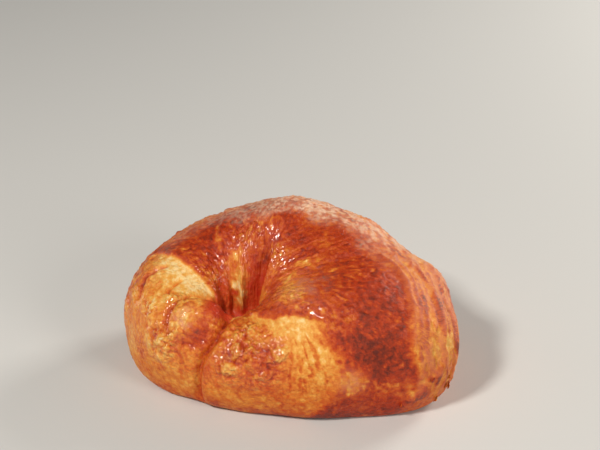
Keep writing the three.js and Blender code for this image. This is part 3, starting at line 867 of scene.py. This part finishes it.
def colour_ramp(tree, stops, value):
    """The colour at value on a ramp through the stops (place, colour)."""
    node = make_node(tree, "ShaderNodeValToRGB", Fac=value)
    elements = node.color_ramp.elements
    while len(elements) < len(stops):
        elements.new(0.5)
    for element, (at, shown) in zip(elements, stops):
        element.position = at
        element.color = shown
    return node.outputs["Color"]


# %% [markdown]
# A ramp holds the colours of baking dough. Noise on the object's own coordinates adds the grain between the
# mesh's points, both to the colour and to a fine bump. Egg wash makes a thin clear coat, and a little light
# passes into the crumb under the crust.

# %% The crust's material
BAKING = [
    (0.0, colour(252, 218, 154)),
    (0.16, colour(240, 178, 84)),
    (0.36, colour(226, 134, 48)),
    (0.56, colour(206, 92, 28)),
    (0.74, colour(180, 56, 14)),
    (0.88, colour(138, 44, 16)),
    (1.0, colour(100, 32, 18)),
]
RED_AND_BOUNCE_COLOUR, FROST_AND_SHEEN_COLOUR = colour(196, 40, 28), colour(236, 196, 168)
RED_AND_BOUNCE_SHARE, FROST_AND_SHEEN_GRAIN, FROST_AND_SHEEN_LESS = 0.8, 1.9, 0.1
GRAIN_SCALE, DRIFT_SCALE, PUFF_SCALE = 620.0, 380.0, 640.0
DRIFT = 0.003
GRAIN_SHARE, VALLEY_START, VALLEY_DARKENS, PUFF_PALER = 0.70, 0.55, 0.40, 0.03
BUMP_HEIGHT, BLISTERED_PUFF, PLAIN_PUFF = 0.0006, 1.3, 0.2
ROUGH_DULL, ROUGH_GLOSSY = 0.55, 0.24
COAT_FROM_GLOSS, COAT_MOST = 0.3, 0.75


def crust_patterns(tree):
    """Fine grain, and little puffs the size of a blistered crust's bubbles, on the object's coordinates."""
    where = make_node(tree, "ShaderNodeTexCoord").outputs["Object"]
    grain = make_node(tree, "ShaderNodeTexNoise", Vector=where, Scale=GRAIN_SCALE, Detail=4.0, Roughness=0.7)
    drift = make_node(tree, "ShaderNodeTexNoise", Vector=where, Scale=DRIFT_SCALE, Detail=1.0)
    moved = make_node(tree, "ShaderNodeVectorMath", {"operation": "MULTIPLY_ADD"}, i0=drift.outputs["Color"],
                      i1=(DRIFT, DRIFT, DRIFT), i2=where)
    puffs = make_node(tree, "ShaderNodeTexVoronoi", {"feature": "SMOOTH_F1"}, Vector=moved.outputs[0],
                      Scale=PUFF_SCALE, Smoothness=0.25)
    return grain.outputs["Fac"], puffs.outputs["Distance"]


def crust_colour(tree, grain, puffs):
    """The ramp's colour for the baking, with red tone and painted bounce light, then frost and painted sheen.
    """
    # Valleys between the puffs are painted darker and their tops paler, partly their colour and partly
    # painted shade and highlight.
    valley = calculate(tree, "SUBTRACT", puffs, VALLEY_START)
    valley = calculate(tree, "MULTIPLY", read_map(tree, "blistered"), valley)
    speck = calculate(tree, "MULTIPLY_ADD", valley, VALLEY_DARKENS, -PUFF_PALER)
    grainy = calculate(tree, "MULTIPLY_ADD", grain, GRAIN_SHARE, -0.5 * GRAIN_SHARE)
    bread = calculate(tree, "ADD", read_map(tree, "baked"), calculate(tree, "ADD", speck, grainy))
    red_and_bounce = calculate(tree, "MULTIPLY", read_map(tree, "red"), RED_AND_BOUNCE_SHARE)
    reddened = blend(tree, red_and_bounce, colour_ramp(tree, BAKING, bread), RED_AND_BOUNCE_COLOUR)
    frost_and_sheen_share = calculate(tree, "MULTIPLY_ADD", grain, FROST_AND_SHEEN_GRAIN, -FROST_AND_SHEEN_LESS)
    frost_and_sheen_share = calculate(tree, "MULTIPLY", read_map(tree, "frost_and_sheen"), frost_and_sheen_share)
    return blend(tree, frost_and_sheen_share, reddened, FROST_AND_SHEEN_COLOUR)


def crust_bump(tree, grain, puffs):
    """The normal of grain and puffs, where the puffs stand up most on blistered crust."""
    strength = calculate(tree, "MULTIPLY_ADD", read_map(tree, "blistered"), -BLISTERED_PUFF, -PLAIN_PUFF)
    heights = calculate(tree, "ADD", calculate(tree, "MULTIPLY", puffs, strength), grain)
    bump = make_node(tree, "ShaderNodeBump", Height=heights, Strength=1.0, Distance=BUMP_HEIGHT)
    return bump.outputs["Normal"]


def crust_material():
    """Baked crust: coloured and roughened by the maps, with egg wash as a clear coat."""
    material = bpy.data.materials.new("baked_crust")
    material.use_nodes = True
    tree = material.node_tree
    shader = tree.nodes["Principled BSDF"]
    grain, puffs = crust_patterns(tree)
    gloss_map = read_map(tree, "gloss")
    rough = make_node(tree, "ShaderNodeMapRange", Value=gloss_map, To_Min=ROUGH_DULL, To_Max=ROUGH_GLOSSY)
    coat = make_node(tree, "ShaderNodeMapRange", Value=gloss_map, From_Min=COAT_FROM_GLOSS, To_Min=0.0,
                     To_Max=COAT_MOST)
    tree.links.new(crust_colour(tree, grain, puffs), shader.inputs["Base Color"])
    tree.links.new(crust_bump(tree, grain, puffs), shader.inputs["Normal"])
    tree.links.new(rough.outputs["Result"], shader.inputs["Roughness"])
    tree.links.new(coat.outputs["Result"], shader.inputs["Coat Weight"])
    shader.inputs["Coat Roughness"].default_value = 0.12
    shader.inputs["Specular IOR Level"].default_value = 0.28
    shader.inputs["Subsurface Weight"].default_value = 0.10
    shader.inputs["Subsurface Radius"].default_value = (1.0, 0.35, 0.15)
    shader.inputs["Subsurface Scale"].default_value = 0.002
    return material


baked_crust = crust_material()
for piece in (crust, flakes):
    piece.data.materials.append(baked_crust)
    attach(piece, "root")
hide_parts("croissant")
print("material:", baked_crust.name, "with", len(baked_crust.node_tree.nodes), "nodes")

# %% [markdown]
# The set is a plain pale floor, wide enough to run out of every view.

# %% Floor
FLOOR_SIZE = 6.0

bpy.ops.mesh.primitive_plane_add(size=FLOOR_SIZE, location=(0.0, 0.0, 0.0))
floor = bpy.context.object
floor.name = "floor"
floor_paint = bpy.data.materials.new("floor_paint")
floor_paint.use_nodes = True
paint_shader = floor_paint.node_tree.nodes["Principled BSDF"]
paint_shader.inputs["Base Color"].default_value = colour(210, 211, 212)
paint_shader.inputs["Roughness"].default_value = 0.9
floor.data.materials.append(floor_paint)
print("floor:", FLOOR_SIZE, "m wide")

# %% [markdown]
# The camera stands where the photograph was taken from. It is turned down by one angle, and then moved
# aside and up until the middle of the croissant's base falls on its place in the picture.

# %% Camera
PHOTO_WIDTH, PHOTO_HEIGHT = 600, 450
BASE_PIXEL = (289.8, 361.0)
VIEW_DISTANCE = 0.652
VIEW_DOWN = 27.94
LENS, SENSOR = 100.0, 36.0

camera_data = bpy.data.cameras.new("camera")
camera_data.lens = LENS
camera_data.sensor_width = SENSOR
camera = bpy.data.objects.new("camera", camera_data)
bpy.context.scene.collection.objects.link(camera)
pixels = LENS / SENSOR * PHOTO_WIDTH
tilt = math.radians(VIEW_DOWN)
right_way = np.array([1.0, 0.0, 0.0])
up_way = np.array([0.0, math.sin(tilt), math.cos(tilt)])
back_way = np.array([0.0, -math.cos(tilt), math.sin(tilt)])
aside = (BASE_PIXEL[0] - PHOTO_WIDTH / 2) / pixels
below = (BASE_PIXEL[1] - PHOTO_HEIGHT / 2) / pixels
camera.location = VIEW_DISTANCE * (back_way + below * up_way - aside * right_way)
camera.rotation_euler = (math.radians(90.0) - tilt, 0.0, 0.0)
bpy.context.scene.camera = camera
print("camera at", [round(part, 3) for part in camera.location])

# %% [markdown]
# A small warm key from the front left gives the crust its glints, a fill opens the shadows, and two lights
# from behind trace the outline. A faint even world stands for the room.

# %% Lights
WARM = (1.0, 0.94, 0.84)
MIDDLE_HEIGHT = 0.025
WORLD_STRENGTH = 0.08
LIGHTS = [
    # name, place in metres, width and height, power in watts
    ("key", (-0.40, -0.50, 0.70), (0.14, 0.14), 6.4),
    ("fill", (0.60, -0.60, 0.45), (0.3, 0.3), 3.0),
    ("rim_right", (0.65, 0.50, 0.34), (0.25, 0.4), 5.5),
    ("rim_left", (-0.80, 0.25, 0.12), (0.25, 0.2), 0.7),
]


def soft_light(name, place_at, size, power):
    """A warm area light aimed at the middle of the croissant."""
    data = bpy.data.lights.new(name, "AREA")
    data.shape = "RECTANGLE"
    data.size, data.size_y = size
    data.energy = power
    data.color = WARM
    lamp = bpy.data.objects.new(name, data)
    bpy.context.scene.collection.objects.link(lamp)
    lamp.location = place_at
    x, y, z = np.array([0.0, 0.0, MIDDLE_HEIGHT]) - np.array(place_at)
    lamp.rotation_euler = (math.atan2(math.hypot(x, y), -z), 0.0, math.atan2(-x, y))


for light in LIGHTS:
    soft_light(*light)

world = bpy.data.worlds.new("studio")
bpy.context.scene.world = world
world.use_nodes = True
background = world.node_tree.nodes["Background"]
background.inputs["Color"].default_value = (1.0, 1.0, 1.0, 1.0)
background.inputs["Strength"].default_value = WORLD_STRENGTH
bpy.context.scene.view_settings.view_transform = "Standard"
print("lights:", [name for name, *_ in LIGHTS])
